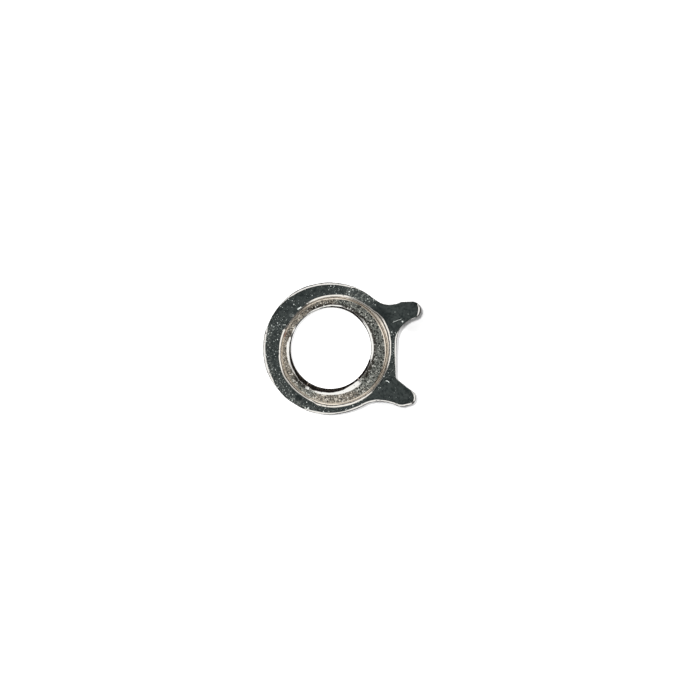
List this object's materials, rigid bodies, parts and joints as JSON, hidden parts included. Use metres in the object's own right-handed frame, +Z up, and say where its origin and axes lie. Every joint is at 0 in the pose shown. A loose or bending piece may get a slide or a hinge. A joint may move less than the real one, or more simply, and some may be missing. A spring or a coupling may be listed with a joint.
{
  "type": "watch click",
  "caption": "Flat steel click of a watch's winding work: a ring that turns on a post, with an off-centre turned recess and rounded beaks at one side.",
  "frame": {"origin": "centre of the pivot bore, in the plane of the underside", "axes": "+Z up along the bore towards the polished top face, +X through the hollow between the two beaks, +Y towards the upper beak"},
  "size_m": [0.0035, 0.003, 0.0005],
  "materials": {
    "polished_steel": "hardened steel, black polished top and bevelled edges, fine grained turned recess"
  },
  "bodies": {
    "root": {"click": "polished_steel"}
  },
  "joints": []
}
